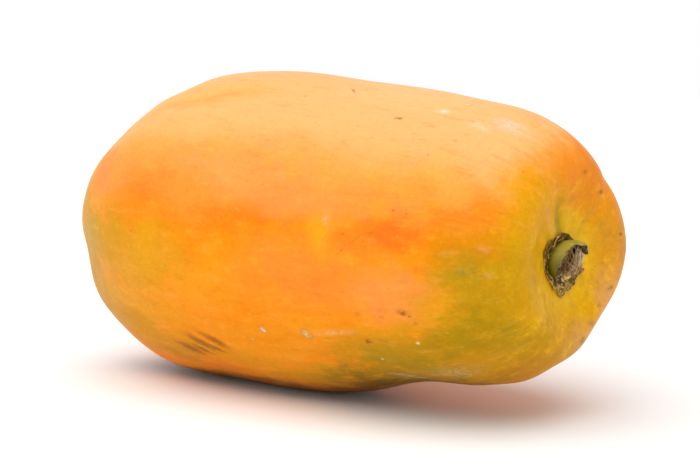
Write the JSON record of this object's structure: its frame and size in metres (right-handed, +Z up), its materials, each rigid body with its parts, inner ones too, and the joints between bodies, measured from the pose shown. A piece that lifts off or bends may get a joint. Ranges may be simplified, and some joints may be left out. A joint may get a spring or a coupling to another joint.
{
  "type": "papaya",
  "caption": "Ripe long papaya lying on its side, with blunt lobed ends, a shallow navel, a torn green stem stub and a dry pointed calyx; a whole fruit for display or handling.",
  "frame": {"origin": "on the resting surface, under the middle of the part's box", "axes": "+Z up, +X along the fruit's length from the blossom end to the stem end, -Y towards the side with the olive green patches"},
  "size_m": [0.2548, 0.1384, 0.1365],
  "materials": {
    "skin": "satin waxy fruit skin, orange with yellow ends and olive green patches",
    "stem": "smooth olive green stem skin, torn fibrous end",
    "dry_calyx": "dull dry brown plant tissue"
  },
  "bodies": {
    "root": {"fruit": "skin", "stem_stub": "stem", "calyx": "dry_calyx"}
  },
  "joints": []
}
